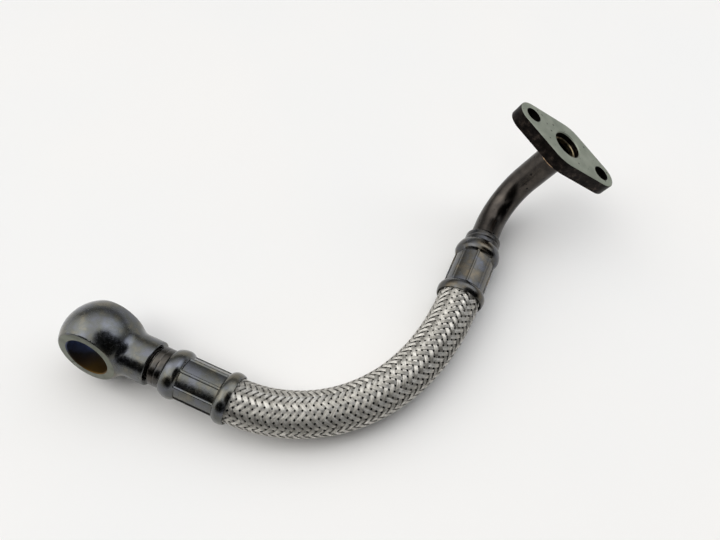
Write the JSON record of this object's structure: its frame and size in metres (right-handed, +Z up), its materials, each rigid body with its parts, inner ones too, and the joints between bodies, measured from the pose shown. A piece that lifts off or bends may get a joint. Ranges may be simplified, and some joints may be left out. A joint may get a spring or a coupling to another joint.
{
  "type": "turbo oil feed line",
  "caption": "Braided steel oil feed hose between crimped ferrules, with a banjo eye at one end and a bent tube with a bolted flange at the other.",
  "frame": {"origin": "centre of the bottom of the bounding box, with the line lying on a floor on its eye and its ferrules", "axes": "+Z up, the eye's neck points along +X, the hose bends round towards +Y, and the eye's front face looks along -Y and a little upwards"},
  "size_m": [0.17, 0.1502, 0.0514],
  "materials": {
    "blackened_steel": "black oxide, oiled, satin",
    "turned_steel": "turned",
    "stainless_braid": "woven stainless wire",
    "oil_hose_rubber": "matte",
    "dark_oxide_steel": "dark oxide, lightly pitted",
    "braze": "as brazed",
    "ground_steel": "ground face, dark edges"
  },
  "bodies": {
    "root": {"banjo_eye": "blackened_steel", "banjo_hose_tail": "turned_steel", "banjo_ferrule": "blackened_steel", "hose_liner": "oil_hose_rubber", "steel_braid": "stainless_braid", "tube_ferrule": "blackened_steel", "tube_hose_tail": "turned_steel", "feed_tube": "dark_oxide_steel", "flange_braze_ring": "braze", "tube_flange": "ground_steel"}
  },
  "joints": []
}
